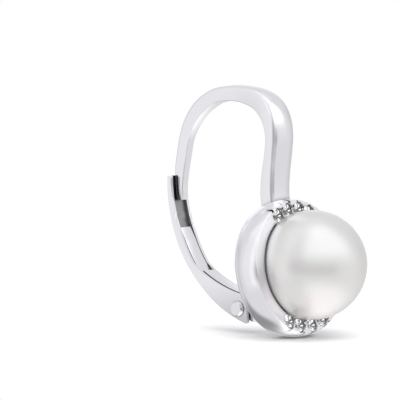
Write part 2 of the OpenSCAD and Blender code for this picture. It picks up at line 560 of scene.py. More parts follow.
@dataclass(frozen=True)
class MetalFinish:
    """Polished rhodium-plated silver."""

    name: str
    colour: Colour = (0.93, 0.926, 0.955, 1.0)
    # colour of the painted shade in hollows and at the lever's foot
    dark: Colour = (0.10, 0.09, 0.09, 1.0)
    smooth: float = 0.13
    rough: float = 0.18
    streak_scale: float = 9000.0
    relief: float = 0.04
    relief_height: float = 0.00001
    # painted shade in narrow joints and hollows: how far ambient occlusion looks, and how strong it is
    painted_shade_reach: float = 0.0004
    painted_shade_amount: float = 0.75
    # inside the lever's channel: colour of the painted shade, half width of the channel, and added
    # roughness
    painted_channel_shade: Colour = (0.36, 0.36, 0.37, 1.0)
    shaded_channel_half: float = 0.0
    dull_rough: float = 0.22
    # painted shade towards the lever's lower edge: the heights where it starts and is full, and its
    # strength
    foot_z: Point = (-0.0125, -0.0168)
    foot_shade: float = 0.0

    def make(self, effects: Effects) -> bpy.types.Material:
        """Builds the material.

        Args:
            effects: the shared node groups.

        Returns:
            The material.
        """
        material, wires, shader = new_material(self.name)
        place = wires.add("TexCoord").outputs["Object"]
        colour, smooth, rough = self.colour, self.smooth, self.rough
        # inside the channel the metal is rougher, and its colour is darkened as painted shade
        if self.shaded_channel_half:
            aside = wires.math("ABSOLUTE", wires.split(place)["X"])
            inside = wires.math("LESS_THAN", aside, self.shaded_channel_half)
            colour = wires.blend(inside, colour, self.painted_channel_shade)
            smooth = wires.math("MULTIPLY_ADD", inside, self.dull_rough, smooth)
            rough = wires.math("MULTIPLY_ADD", inside, self.dull_rough, rough)
        # painted shade: the metal darkens towards its lower edge, by height
        if self.foot_shade:
            low = wires.ease(wires.split(place)["Z"], *self.foot_z, (0.0, self.foot_shade))
            colour = wires.blend(low, colour, self.dark)
        polish = {"Streak_Scale": self.streak_scale, "Smooth": smooth, "Rough": rough}
        marks = wires.group(effects.polish, Vector=place, **polish)
        # painted shade in joints and hollows, from ambient occlusion
        painted_recess_shade = {"Dark": self.dark, "Depth": self.painted_shade_reach, "Amount": self.painted_shade_amount}
        shade = wires.group(effects.painted_recess_shade, Colour=colour, **painted_recess_shade)
        normal = wires.bump(marks.outputs["Height"], self.relief, self.relief_height)
        dress(shader, Metallic=1.0)
        wires.put(shader.inputs["Base Color"], shade.outputs["Colour"])
        wires.put(shader.inputs["Roughness"], marks.outputs["Roughness"])
        wires.put(shader.inputs["Normal"], normal)
        return material


@dataclass(frozen=True)
class PearlFinish:
    """White nacre: a soft mirror over a milky body, with faint tints that drift over it."""

    name: str = "white_nacre"
    warm: Colour = (0.83, 0.80, 0.78, 1.0)
    cool: Colour = (0.797, 0.803, 0.79, 1.0)
    rose: Colour = (0.83, 0.797, 0.79, 1.0)
    lustre: float = 0.62
    smooth: float = 0.31
    rough: float = 0.35
    warm_z: Point = (-0.0110, -0.0155)
    drift_scale: float = 190.0
    drift_detail: float = 1.0
    drift: Point = (0.35, 0.65)
    drift_share: float = 0.35
    patch_scale: float = 330.0
    patch_detail: float = 2.0
    patches: Point = (0.5, 0.7)
    rose_part: Point = (0.0, 0.3)
    streak_scale: float = 5000.0
    relief: float = 0.03
    relief_height: float = 0.00002
    milk: float = 0.3
    milk_depth: float = 0.0008
    coat: float = 0.25
    coat_rough: float = 0.22

    def make(self, effects: Effects) -> bpy.types.Material:
        """Builds the material.

        Args:
            effects: the shared node groups.

        Returns:
            The material.
        """
        material, wires, shader = new_material(self.name)
        place = wires.add("TexCoord").outputs["Object"]
        drift = wires.noise(place, self.drift_scale, self.drift_detail)
        patches = wires.noise(place, self.patch_scale, self.patch_detail)
        low = wires.ease(wires.split(place)["Z"], *self.warm_z)
        warmth = wires.share(wires.ease(drift, *self.drift), low, self.drift_share)
        body = wires.blend(warmth, self.cool, self.warm)
        tint = wires.blend(wires.ease(patches, *self.patches, self.rose_part), body, self.rose)
        polish = {"Streak_Scale": self.streak_scale, "Smooth": self.smooth, "Rough": self.rough}
        marks = wires.group(effects.polish, Vector=place, **polish)
        normal = wires.bump(marks.outputs["Height"], self.relief, self.relief_height)
        wires.put(shader.inputs["Base Color"], tint)
        wires.put(shader.inputs["Roughness"], marks.outputs["Roughness"])
        wires.put(shader.inputs["Normal"], normal)
        dress(shader, Metallic=self.lustre, Subsurface_Weight=self.milk, Subsurface_Scale=self.milk_depth)
        dress(shader, Coat_Weight=self.coat, Coat_Roughness=self.coat_rough)
        return material


@dataclass(frozen=True)
class StoneFinish:
    """Clear cut stone; every other break facet of its pavilion glows as a painted sparkle, and bluish
    specks in its colour are a painted glint.
    """

    name: str = "clear_cut_stone"
    clear: Colour = (1.0, 1.0, 1.0, 1.0)
    painted_blue_glint: Colour = (0.94, 0.97, 1.0, 1.0)
    fleck_scale: float = 5200.0
    painted_glint_flecks: Point = (0.5, 0.75)
    refraction: float = 2.0
    glow: float = 1.05

    def make(self) -> bpy.types.Material:
        """Builds the material.

        Returns:
            The material.
        """
        material, wires, shader = new_material(self.name)
        place = wires.add("TexCoord").outputs["Object"]
        # painted glint: bluish specks tint the stone's colour
        painted_glint_flecks = wires.ease(wires.noise(place, self.fleck_scale, 0.0), *self.painted_glint_flecks)
        painted_glow = wires.add("Attribute", attribute_name=PAINTED_GLOW).outputs["Color"]
        wires.put(shader.inputs["Base Color"], wires.blend(painted_glint_flecks, self.clear, self.painted_blue_glint))
        # painted sparkle: the marked facets glow
        wires.put(shader.inputs["Emission Color"], painted_glow)
        dress(shader, IOR=self.refraction, Roughness=0.0, Transmission_Weight=1.0)
        dress(shader, Emission_Strength=self.glow)
        return material


class Finishes:
    """The materials of the earring, by slot."""

    def __init__(self) -> None:
        """Makes every material once."""
        effects = Effects()
        setting = MetalFinish("polished_setting")
        lever = MetalFinish("polished_lever", painted_shade_amount=0.6, shaded_channel_half=0.00066, foot_shade=0.4)
        strip = MetalFinish("satin_strip", smooth=0.16, rough=0.24, relief=0.1, painted_shade_reach=0.00018)
        pin = MetalFinish("polished_pin", colour=(0.85, 0.85, 0.875, 1.0), painted_shade_reach=0.00018)
        self.by_slot: dict[Slot, bpy.types.Material] = {
            Slot.SETTING: setting.make(effects),
            Slot.LEVER: lever.make(effects),
            Slot.STRIP: strip.make(effects),
            Slot.PIN: pin.make(effects),
            Slot.PEARL: PearlFinish().make(effects),
            Slot.STONE: StoneFinish().make(),
        }


class Blank:
    """A mesh in work, in millimetres round the pearl's centre."""

    def __init__(self, name: str, shape: bmesh.types.BMesh) -> None:
        """Closes the shape's seams, turns its faces outwards and puts it in the scene.

        Args:
            name: the piece's name.
            shape: the drawn mesh, which is freed.
        """
        bmesh.ops.remove_doubles(shape, verts=shape.verts[:], dist=MERGE)
        bmesh.ops.recalc_face_normals(shape, faces=shape.faces[:])
        mesh = bpy.data.meshes.new(name)
        shape.to_mesh(mesh)
        shape.free()
        self.object = bpy.data.objects.new(name, mesh)
        bpy.context.scene.collection.objects.link(self.object)

    def settle(self) -> "Blank":
        """Applies the modifiers to the mesh.

        Returns:
            The blank.
        """
        graph = bpy.context.evaluated_depsgraph_get()
        drawn = self.object.data
        self.object.data = bpy.data.meshes.new_from_object(self.object.evaluated_get(graph))
        self.object.modifiers.clear()
        bpy.data.meshes.remove(drawn)
        return self

    def discard(self) -> None:
        """Takes the blank out of the scene."""
        mesh = self.object.data
        bpy.data.objects.remove(self.object)
        bpy.data.meshes.remove(mesh)

    def carve(self, tools: Sequence["Blank"], how: Carve = Carve.AWAY) -> "Blank":
        """Carves the blank with other blanks, which are used up.

        Args:
            tools: the carving shapes.
            how: whether their space is taken away or kept.

        Returns:
            The blank.
        """
        rack = bpy.data.collections.new("tools")
        for tool in tools:
            rack.objects.link(tool.object)
        modifier = self.object.modifiers.new("carve", "BOOLEAN")
        modifier.operation = how.value
        modifier.operand_type = "COLLECTION"
        modifier.collection = rack
        modifier.solver = "EXACT"
        self.settle()
        for tool in tools:
            tool.discard()
        bpy.data.collections.remove(rack)
        return self

    def soften(self, width: float) -> "Blank":
        """Rounds the sharp edges.

        Args:
            width: width of the rounding.

        Returns:
            The blank.
        """
        modifier = self.object.modifiers.new("soften", "BEVEL")
        modifier.width = width
        modifier.segments = SOFT_STEPS
        modifier.limit_method = "ANGLE"
        modifier.angle_limit = math.radians(SOFT_ANGLE)
        modifier.use_clamp_overlap = True
        modifier.miter_outer = "MITER_ARC"
        return self.settle()

    def finish(
        self, body: Body, nodes: Sequence[str], slot: Slot, finishes: Finishes, sharp: float = SHARP_ANGLE
    ) -> bpy.types.Object:
        """Moves the mesh to its place in the row frame, dresses it and hands it to its body.

        Args:
            body: the body that it rides on.
            nodes: the frame's nodes that it stands for.
            slot: the material slot that it takes its finish from.
            finishes: the materials.
            sharp: least angle between faces that stays a sharp edge, in degrees; 0 leaves every face flat.

        Returns:
            The finished object.
        """
        mesh = self.object.data
        mesh.transform(Matrix.Scale(MILLIMETRE, 4) @ Matrix.Translation(pearl_centre()))
        mesh.materials.clear()
        mesh.materials.append(finishes.by_slot[slot])
        if sharp > 0:
            mesh.shade_smooth()
            mesh.set_sharp_from_angle(angle=math.radians(sharp))
            modifier = self.object.modifiers.new("weighted normals", "WEIGHTED_NORMAL")
            modifier.keep_sharp = True
        else:
            mesh.shade_flat()
        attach(self.object, body.value)
        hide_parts(*nodes)
        return self.object

    def solder(self, finishes: Finishes) -> bpy.types.Object:
        """Finishes the mesh as a part of the setting and returns it."""
        return self.finish(Body.EARRING, ["setting"], Slot.SETTING, finishes)


def turned(name: str, profile: Sequence[Point], axis: Axis, steps: int, degrees: float = 360.0) -> Blank:
    """Turns a closed profile about an axis through the pearl's centre.

    Args:
        name: the blank's name.
        profile: (radius, distance along the axis) points. The radius starts along Z.
        axis: the axis.
        steps: steps of the turn.
        degrees: how far it is turned. Less than a full turn is centred on the start, with closed ends.

    Returns:
        The turned blank.
    """
    shape = bmesh.new()
    along = Vector(axis.value)
    out = Vector((0.0, 0.0, 1.0))
    corners = [shape.verts.new(out * r + along * d) for r, d in profile]
    edges = [shape.edges.new((corners[i - 1], corners[i])) for i in range(len(corners))]
    full = degrees >= 360.0
    start = list(corners) + list(edges)
    if not full:
        face = shape.faces.new(corners)
        start.append(face)
        back = Matrix.Rotation(math.radians(-degrees / 2), 3, along)
        bmesh.ops.rotate(shape, verts=corners, cent=(0, 0, 0), matrix=back)
    sweep = {"angle": math.radians(degrees), "steps": steps, "use_merge": full}
    bmesh.ops.spin(shape, geom=start, cent=(0, 0, 0), axis=along, **sweep)
    bmesh.ops.dissolve_degenerate(shape, dist=MERGE, edges=shape.edges[:])
    return Blank(name, shape)


def prism(
    name: str, corners: Sequence[Sequence[float]], way: Sequence[float], place: Matrix = Matrix.Identity(4)
) -> Blank:
    """Draws a flat face and pushes it straight on.

    Args:
        name: the blank's name.
        corners: the face's corners.
        way: how far it is pushed along X, Y and Z.
        place: where the result is put.

    Returns:
        The prism.
    """
    shape = bmesh.new()
    face = shape.faces.new([shape.verts.new(corner) for corner in corners])
    grown = bmesh.ops.extrude_face_region(shape, geom=[face], use_keep_orig=True)
    moved = [v for v in grown["geom"] if isinstance(v, bmesh.types.BMVert)]
    bmesh.ops.translate(shape, verts=moved, vec=way)
    bmesh.ops.transform(shape, matrix=place, verts=shape.verts[:])
    return Blank(name, shape)


def plate(name: str, outline: Sequence[Point], width: float) -> Blank:
    """Cuts a plate that stands across X, which is centred, from its (Y, Z) outline, and returns it."""
    return prism(name, [(-width / 2, y, z) for y, z in outline], (width, 0, 0))


def cone(
    name: str,
    axis: Axis,
    radii: Point,
    length: float,
    middle: Sequence[float],
    sides: int,
    place: Matrix = Matrix.Identity(4),
) -> Blank:
    """Makes a cone along X or Y.

    Args:
        name: the blank's name.
        axis: the axis that it lies along.
        radii: its radii at the left and the right end along X, or at the back and the front along Y.
        length: its length.
        middle: its middle.
        sides: sides of its circle.
        place: where the result is put.

    Returns:
        The cone.
    """
    shape = bmesh.new()
    bmesh.ops.create_cone(
        shape, cap_ends=True, segments=sides, radius1=radii[0], radius2=radii[1], depth=length
    )
    turn = Matrix.Rotation(math.pi / 2, 3, "Y" if axis is Axis.X else "X")
    bmesh.ops.rotate(shape, verts=shape.verts[:], cent=(0, 0, 0), matrix=turn)
    bmesh.ops.translate(shape, verts=shape.verts[:], vec=middle)
    bmesh.ops.transform(shape, matrix=place, verts=shape.verts[:])
    return Blank(name, shape)


def bar(name: str, centre: Point, radius: float, width: float, sides: int) -> Blank:
    """Makes a round bar along X whose middle is at a (Y, Z) centre, and returns it."""
    return cone(name, Axis.X, (radius, radius), width, (0, *centre), sides)


def ring_place(angle: float, radius: float, depth: float = 0.0) -> Matrix:
    """Gives the place of something on the ring, with its +Z outward and its -Y to the front.

    Args:
        angle: its angle from the upright, in degrees.
        radius: its distance from the ring's axis.
        depth: its distance behind the pearl's centre.

    Returns:
        The matrix of the place.
    """
    return Matrix.Rotation(math.radians(angle), 4, "Y") @ Matrix.Translation((0, depth, radius))


@dataclass(frozen=True)
class Notch:
    """A pointed notch in the ring's shoulder, half its mouth, and how far back and how deep it goes."""

    angle: float
    half: float
    apex_y: float
    floor_r: float


@dataclass
class StoneRows:
    """The rows of stones in the ring's face: the stones, and the tools that carve their beds."""

    stone_r: float = 0.54
    girdle_y: float = 1.42
    girdle_half: float = 0.015
    crown_h: float = 0.16
    table_apothem: float = 0.300
    crown_angle: float = 34.0
    break_angle: float = 41.5
    star_angle: float = 20.0
    pavilion_angle: float = 40.6
    pavilion_break_angle: float = 42.2
    rough_sides: int = 64
    rough_h: float = 1.4
    seat_r: float = 0.555
    seat_floor_y: float = 1.45
    point_inset: float = 0.03
    point_end_r: float = 0.02
    point_y: float = 1.93
    overlap: float = 0.02
    cone_sides: int = 48
    bed_steps: int = 24
    bed_y: float = 1.25
    bed_in_r: float = 3.4
    bed_out_r: float = 4.22
    end_floor_r: float = 0.68
    end_top_r: float = 0.78
    end_out_r: float = 4.62
    fence_y: Point = (0.0, 2.0)
    notch_out_r: float = 5.4
    notches: tuple[Notch, ...] = (
        Notch(-30.0, 0.15, 1.75, 4.70),
        Notch(-16.6, 0.07, 1.60, 4.82),
        Notch(-5.6, 0.15, 2.00, 4.40),
        Notch(5.0, 0.10, 1.55, 4.66),
        Notch(21.5, 0.12, 1.65, 4.66),
    )
    slits: tuple[tuple[float, float, float], ...] = (
        (-0.8, 4.2, 4.56),
        (-16.8, 4.3, 4.62),
        (15.0, 4.3, 4.62),
    )
    slit_low_half: float = 0.06
    slit_high_half: float = 0.1
    slit_y: float = 1.8
    pads: tuple[tuple[float, float], ...] = ((-23.3, 0.44), (-11.2, 0.36), (-0.4, 0.32), (13.2, 0.48))
    pad_r: float = 4.81
    pad_y: float = 1.52
    pad_depth: float = 0.30
    pad_height: float = 0.17
    front_y: float = 0.9
    bead_r: float = 0.07
    bead_depth: float = 1.2
    bead_y: float = 1.2
    bead_lines: Point = (0.36, -0.34)
    lump_sides: int = 32
    lump_rings: int = 18
    facets: int = 8
    # painted glow of the pavilion's break facets, on and off in turn
    painted_break_glow: Point = (1.0, 0.0)
    girdle_end: float = 91.0
    same_angle: float = 0.5

    def _sink(self, name: str, place: Matrix, radii: Point, depths: Point) -> Blank:
        """Makes a cone that runs back from the ring's face.

        Args:
            name: the blank's name.
            place: its place on the ring.
            radii: its radii at the front and at the back.
            depths: distances of its front and its back behind the pearl's centre.

        Returns:
            The cone.
        """
        front, back = depths
        middle = (0, (front + back) / 2, 0)
        return cone(name, Axis.Y, radii[::-1], back - front, middle, self.cone_sides, place)

    def _bed(self, row: Row) -> list[Blank]:
        """Makes the tools that sink the ring's face on the stones' inner side and past the end stones.

        Args:
            row: the row.

        Returns:
            The tools.
        """
        first, last = row.angles[0], row.angles[-1]
        front, back = self.front_y, self.bed_y
        low, high = self.bed_in_r, self.bed_out_r
        profile = [(low, front), (high, front), (high, back), (low, back)]
        band = turned("bed", profile, Axis.Y, self.bed_steps, last - first)
        band.object.data.transform(ring_place(row.value + (first + last) / 2, 0))
        ends = []
        for angle in (first, last):
            place = ring_place(angle + row.value, row.circle_r)
            end = self._sink("end", place, (self.end_top_r, self.end_floor_r), (front, back))
            fence = self._sink("fence", ring_place(0, 0), (self.end_out_r, self.end_out_r), self.fence_y)
            ends.append(end.carve([fence], Carve.SHARED))
        return [band, *ends]

    def tools(self) -> list[Blank]:
        """Makes every tool that carves the ring for the stones.

        Returns:
            The tools.
        """
        made: list[Blank] = []
        front, floor = self.front_y, self.seat_floor_y
        point_r = (self.seat_r - self.point_inset, self.point_end_r)
        foot, top = self.slit_low_half, self.slit_high_half
        for row in Row:
            made += self._bed(row)
            for angle in row.angles:
                place = ring_place(angle + row.value, row.circle_r)
                made.append(self._sink("seat", place, (self.seat_r, self.seat_r), (front, floor)))
                made.append(self._sink("point", place, point_r, (floor - self.overlap, self.point_y)))
            for notch in self.notches:
                place = ring_place(notch.angle + row.value, 0)
                low, half = notch.floor_r, notch.half
                corners = [(-half, front, low), (half, front, low), (0, notch.apex_y, low)]
                made.append(prism("notch", corners, (0, 0, self.notch_out_r - low), place))
            for angle, low, high in self.slits:
                place = ring_place(angle + row.value, 0)
                corners = [(-foot, front, low), (foot, front, low), (top, front, high), (-top, front, high)]
                made.append(prism("slit", corners, (0, self.slit_y - front, 0), place))
        return made

    def _facet(self, gem: bmesh.types.BMesh, tilt: float, turn: float, through: Point) -> None:
        """Grinds one flat facet onto a stone that stands along Z.

        Args:
            gem: the stone.
            tilt: angle of the facet's outward direction from +Z, in degrees.
            turn: its direction round Z, in degrees.
            through: (distance from the axis, height) of a point of the facet in that direction.
        """
        a, t = math.radians(turn), math.radians(tilt)
        out = Vector((math.sin(t) * math.cos(a), math.sin(t) * math.sin(a), math.cos(t)))
        point = Vector((through[0] * math.cos(a), through[0] * math.sin(a), through[1]))
        everything = gem.verts[:] + gem.edges[:] + gem.faces[:]
        cut = bmesh.ops.bisect_plane(
            gem, geom=everything, dist=HAIR, plane_co=point, plane_no=out, clear_outer=True
        )
        edges = [e for e in cut["geom_cut"] if isinstance(e, bmesh.types.BMEdge)]
        if len(edges) > 2:
            bmesh.ops.contextual_create(gem, geom=edges)

    def gem(self) -> bmesh.types.BMesh:
        """Grinds a brilliant with its table at the top.

        Returns:
            The stone's mesh.
        """
        gem = bmesh.new()
        size = {"radius1": self.stone_r, "radius2": self.stone_r, "depth": self.rough_h}
        bmesh.ops.create_cone(gem, cap_ends=True, segments=self.rough_sides, **size)
        step = 360.0 / self.facets
        fall = self.stone_r * (1 - math.cos(math.radians(step / 4)))
        upper = self.girdle_half - fall * math.tan(math.radians(self.break_angle))
        lower = -self.girdle_half + fall * math.tan(math.radians(self.pavilion_break_angle))
        self._facet(gem, 0.0, 0.0, (0.0, self.crown_h))
        for k in range(self.facets):
            turn = step * k + step / 4
            self._facet(gem, self.crown_angle, turn, (self.stone_r, self.girdle_half))
            self._facet(gem, 180 - self.pavilion_angle, turn, (self.stone_r, -self.girdle_half))
            self._facet(gem, self.star_angle, turn + step / 2, (self.table_apothem, self.crown_h))
            for side in (-step / 4, step / 4):
                self._facet(gem, self.break_angle, turn + side, (self.stone_r, upper))
                self._facet(gem, 180 - self.pavilion_break_angle, turn + side, (self.stone_r, lower))
        self._paint_break_glow(gem)
        return gem

    def _paint_break_glow(self, gem: bmesh.types.BMesh) -> None:
        """Makes every other one of the pavilion's break facets glow, a painted sparkle, by a value kept per
        facet.

        Args:
            gem: the stone.
        """
        bmesh.ops.recalc_face_normals(gem, faces=gem.faces[:])
        painted_glow = gem.faces.layers.float.new(PAINTED_GLOW)
        half_step = 180.0 / self.facets
        for face in gem.faces:
            tilt = math.degrees(face.normal.angle(Vector((0, 0, 1))))
            turn = math.degrees(math.atan2(face.normal.y, face.normal.x)) % 360.0
            is_main = abs(tilt - 180.0 + self.pavilion_angle) < self.same_angle
            if tilt > self.girdle_end and not is_main:
                face[painted_glow] = self.painted_break_glow[round(turn / half_step) % 2]

    def stones(self, finishes: Finishes) -> list[bpy.types.Object]:
        """Sets a stone in each seat.

        Args:
            finishes: the materials.

        Returns:
            The finished stones.
        """
        made = []
        to_front = Matrix.Rotation(math.pi / 2, 4, "X")
        for row in Row:
            for number, angle in enumerate(row.angles, 1):
                node = f"stone_{row.name.lower()}_{number}"
                gem = self.gem()
                upright = Matrix.Rotation(math.radians(-angle - row.value), 4, "Y")
                place = ring_place(angle + row.value, row.circle_r, self.girdle_y) @ upright @ to_front
                bmesh.ops.transform(gem, matrix=place, verts=gem.verts[:])
                blank = Blank("cut_" + node, gem)
                made.append(blank.finish(Body.EARRING, [node], Slot.STONE, finishes, sharp=0))
        return made

    def _lump(self, shape: bmesh.types.BMesh, place: Matrix, radii: tuple[float, float, float]) -> None:
        """Adds a rounded lump.

        Args:
            shape: the mesh to add it to.
            place: its place on the ring.
            radii: its radii across, in depth and outward.
        """
        sides, rings = self.lump_sides, self.lump_rings
        lump = bmesh.ops.create_uvsphere(shape, u_segments=sides, v_segments=rings, radius=1.0)
        bmesh.ops.scale(shape, verts=lump["verts"], vec=radii)
        bmesh.ops.transform(shape, matrix=place, verts=lump["verts"])

    def beads(self, finishes: Finishes) -> list[bpy.types.Object]:
        """Raises the pads on the ring's shoulder and the small beads that hold the stones.

        Args:
            finishes: the materials.

        Returns:
            The finished beads and pads.
        """
        beads = bmesh.new()
        pads = bmesh.new()
        for row in Row:
            for angle, half in self.pads:
                place = ring_place(angle + row.value, self.pad_r, self.pad_y)
                self._lump(pads, place, (half, self.pad_depth, self.pad_height))
            for left, right in zip(row.angles, row.angles[1:]):
                for line in self.bead_lines:
                    middle = (left + right) / 2 + row.value
                    place = ring_place(middle, row.circle_r + line, self.bead_y)
                    self._lump(beads, place, (self.bead_r, self.bead_depth * self.bead_r, self.bead_r))
        return [Blank("stone_beads", beads).solder(finishes), Blank("shoulder_pads", pads).solder(finishes)]


@dataclass
class Ring:
    """The ring round the pearl: a rounded band with a nearly flat front face and a seat for the pearl."""

    lip_r: float = 3.96
    lip_y: float = 1.12
    seat_r: float = 4.07
    waist_y: float = 2.1
    face_r: float = 4.85
    edge_y: float = 1.12
    widest_r: float = 5.02
    band_end_r: float = 4.87
    band_end_y: float = 3.0
    back_y: float = 3.5
    back_r: float = 4.3
    back_round: float = 0.5
    back_steps: int = 10
    inner_bevel: float = 0.03
    lip_round: float = 0.012
    edge_round: float = 0.03
    seat_gap: float = 0.03
    seat_steps: int = 8
    flank_steps: int = 18
    steps: int = 288

    def _profile(self) -> list[Point]:
        """Draws the ring's section.

        Returns:
            The (radius, depth) points.
        """
        flank = self._flank()
        seat = []
        start = self.lip_y + self.seat_gap
        for i in range(self.seat_steps + 1):
            y = start + (self.waist_y - self.lip_y - self.seat_gap) * i / self.seat_steps
            seat.append((math.sqrt(self.seat_r**2 - y**2), y))
        corners = [
            Corner(*seat[0]),
            Corner(self.lip_r, self.lip_y, self.lip_round),
            Corner(self.face_r, self.edge_y, self.edge_round),
            Corner(*flank[1]),
        ]
        front = rounded(corners, closed=False)
        round_centre = (self.band_end_r - self.back_round, self.band_end_y)
        back = arc(round_centre, self.back_round, 0, 90, self.back_steps)[1:]
        bevel = self.inner_bevel
        inner = [(self.back_r + bevel, self.back_y), (self.back_r, self.back_y - bevel)]
        return front + flank[2:] + back + inner + seat[:0:-1]

    def _flank(self) -> list[Point]:
        """Draws the band from the face's edge to the start of the back.

        Returns:
            The (radius, depth) points.
        """
        start = (self.face_r, self.edge_y)
        end = (self.band_end_r, self.band_end_y)
        rise = self.widest_r - (start[0] + end[0]) / 2
        return bow(start, end, rise, self.flank_steps)

    def build(self, rows: StoneRows, finishes: Finishes) -> bpy.types.Object:
        """Turns the ring and carves the beds of the stones.

        Args:
            rows: the rows of stones.
            finishes: the materials.

        Returns:
            The finished ring.
        """
        blank = turned("ring", self._profile(), Axis.Y, self.steps)
        blank.carve(rows.tools())
        return blank.solder(finishes)


@dataclass(frozen=True)
class Section:
    """One section of the hook: the place of its middle, its width, its depth and how far it is domed."""

    y: float
    z: float
    width: float
    depth: float
    dome: float

    def values(self) -> Vector:
        """Returns the five numbers as one vector."""
        return Vector((self.y, self.z, self.width, self.depth, self.dome))


@dataclass
class Hook:
    """The ear hook, drawn through sections from its foot on the ring to its tip in the lever."""

    sections: tuple[Section, ...] = (
        Section(2.75, 4.40, 2.04, 1.30, 0.34),
        Section(2.72, 5.60, 2.02, 1.34, 0.38),
        Section(2.40, 7.00, 2.08, 1.26, 0.42),
        Section(1.98, 8.30, 2.16, 1.14, 0.44),
        Section(1.67, 9.60, 2.17, 1.18, 0.46),
        Section(1.74, 10.80, 2.08, 1.36, 0.46),
        Section(2.20, 11.78, 1.94, 1.46, 0.44),
        Section(3.12, 12.55, 1.70, 1.40, 0.38),
        Section(4.60, 13.08, 1.40, 1.24, 0.30),
        Section(6.05, 13.26, 1.26, 1.15, 0.26),
        Section(7.35, 13.18, 1.14, 1.14, 0.24),
        Section(8.82, 12.57, 0.96, 1.16, 0.22),
        Section(9.93, 11.62, 0.82, 1.12, 0.20),
        Section(10.67, 10.53, 0.72, 1.02, 0.20),
        Section(11.13, 9.33, 0.68, 1.02, 0.18),
        Section(11.46, 8.36, 0.68, 0.96, 0.16),
        Section(11.68, 7.33, 0.66, 0.78, 0.14),
        Section(11.78, 6.50, 0.64, 0.66, 0.12),
        Section(11.81, 6.05, 0.54, 0.50, 0.10),
    )
    steps: int = 8
    nearby: float = 0.05
    inner_round: float = 0.1
    crease_round: float = 0.08
    corner_steps: int = 5
    arch_share: float = 0.45
    edge_power: float = 20.0
    dome_steps: int = 14
    dome_spacing: float = 1.6
    tip_round: float = 0.07
    tip_steps: int = 3

    def _at(self, s: float) -> Vector:
        """Gives the smooth section at s, counted in sections.

        Args:
            s: place along the hook.

        Returns:
            The section's five numbers.
        """
        last = len(self.sections) - 1
        i = min(int(s), last - 1)
        t = s - i
        near = (i - 1, i, i + 1, i + 2)
        a, b, c, d = (self.sections[min(max(k, 0), last)].values() for k in near)
        bend = (2 * a - 5 * b + 4 * c - d) * t**2
        twist = (3 * b - a - 3 * c + d) * t**3
        return (2 * b + (c - a) * t + bend + twist) * 0.5

    def _half(self, width: float, depth: float, dome: float) -> list[Point]:
        """Draws half of a section, from the middle of the inside to the middle of the domed outside.

        Args:
            width: the section's width.
            depth: its depth.
            dome: the height of its domed outside.

        Returns:
            The (across, out) points.
        """
        h = width / 2
        edge = min(self.inner_round, h / 3)
        crown = []
        for k in range(1, self.dome_steps + 1):
            x = 1 - (k / self.dome_steps) ** self.dome_spacing
            fall = self.arch_share * x**2 + (1 - self.arch_share) * x**self.edge_power
            crown.append((h * x, depth / 2 - dome * fall))
        corners = [
            Corner(0.0, -depth / 2),
            Corner(h, -depth / 2, edge),
            Corner(h, depth / 2 - dome, min(self.crease_round, dome / 4)),
            Corner(*crown[1]),
        ]
        return rounded(corners, self.corner_steps, closed=False)[:-1] + crown[1:]

    def _loop(self, shape: bmesh.types.BMesh, s: float) -> list[bmesh.types.BMVert]:
        """Draws one section as a closed loop of corners, square to the hook's run.

        Args:
            shape: the mesh to draw in.
            s: place along the hook, counted in sections.

        Returns:
            The loop's corners.
        """
        y, z, width, depth, dome = self._at(s)
        ahead = self._at(min(s + self.nearby, len(self.sections) - 1))
        behind = self._at(max(s - self.nearby, 0.0))
        way = Vector((ahead[0] - behind[0], ahead[1] - behind[1])).normalized()
        out = Vector((-way.y, way.x))
        half = self._half(width, depth, dome)
        outline = half + [(-x, d) for x, d in half[-2:0:-1]]
        return [shape.verts.new((x, y + out.x * d, z + out.y * d)) for x, d in outline]

    def build(self, finishes: Finishes) -> bpy.types.Object:
        """Skins the sections, closes the ends and rounds the tip.

        Args:
            finishes: the materials.

        Returns:
            The finished hook.
        """
        shape = bmesh.new()
        count = (len(self.sections) - 1) * self.steps
        loops = [self._loop(shape, i / self.steps) for i in range(count + 1)]
        for first, second in zip(loops, loops[1:]):
            for i in range(len(first)):
                shape.faces.new((first[i - 1], first[i], second[i], second[i - 1]))
        shape.faces.new(loops[0])
        tip = bmesh.ops.contextual_create(shape, geom=loops[-1])
        bmesh.ops.bevel(
            shape,
            geom=tip["faces"][0].edges[:],
            offset=self.tip_round,
            segments=self.tip_steps,
            profile=0.5,
            affect="EDGES",
            material=-1,
            clamp_overlap=True,
        )
        return Blank("ear_hook", shape).solder(finishes)


@dataclass
class Cradle:
    """The strap behind the pearl, with the cup and the peg that hold the pearl."""

    strap_w: float = 2.0
    strap_in_r: float = 4.2
    strap_out_r: float = 4.95
    strap_round: float = 0.12
    strap_half_turn: float = 62.0
    steps: int = 96
    cup_r: float = 1.6
    cup_out_r: float = 4.6
    seat_r: float = 4.06
    cup_steps: int = 12
    peg_r: float = 0.42
    peg_bevel: float = 0.08
    peg_end_y: float = 1.6

    def build(self, finishes: Finishes) -> list[bpy.types.Object]:
        """Turns the strap and the cup.

        Args:
            finishes: the materials.

        Returns:
            The finished strap and cup.
        """
        half = self.strap_w / 2
        low, high, soft = self.strap_in_r, self.strap_out_r, self.strap_round
        places = [(low, -half), (high, -half), (high, half), (low, half)]
        section = rounded([Corner(r, x, soft) for r, x in places])
        strap = turned("strap", section, Axis.X, self.steps, 2 * self.strap_half_turn)
        strap.object.data.transform(Matrix.Rotation(math.radians(-90), 4, "X"))
        cup = turned("cup_and_peg", self._cup_profile(), Axis.Y, self.steps)
        return [blank.solder(finishes) for blank in (strap, cup)]

    def _cup_profile(self) -> list[Point]:
        """Draws the cup and its peg.

        Returns:
            The (radius, depth) points.
        """
        inner = []
        outer = []
        for i in range(self.cup_steps + 1):
            r = self.peg_r + (self.cup_r - self.peg_r) * i / self.cup_steps
            inner.append((r, math.sqrt(self.seat_r**2 - r**2)))
            r = self.cup_r * (1 - i / self.cup_steps)
            outer.append((r, math.sqrt(self.cup_out_r**2 - r**2)))
        end, bevel = self.peg_end_y, self.peg_bevel
        return [(0.0, end), (self.peg_r - bevel, end), (self.peg_r, end + bevel), *inner, *outer]


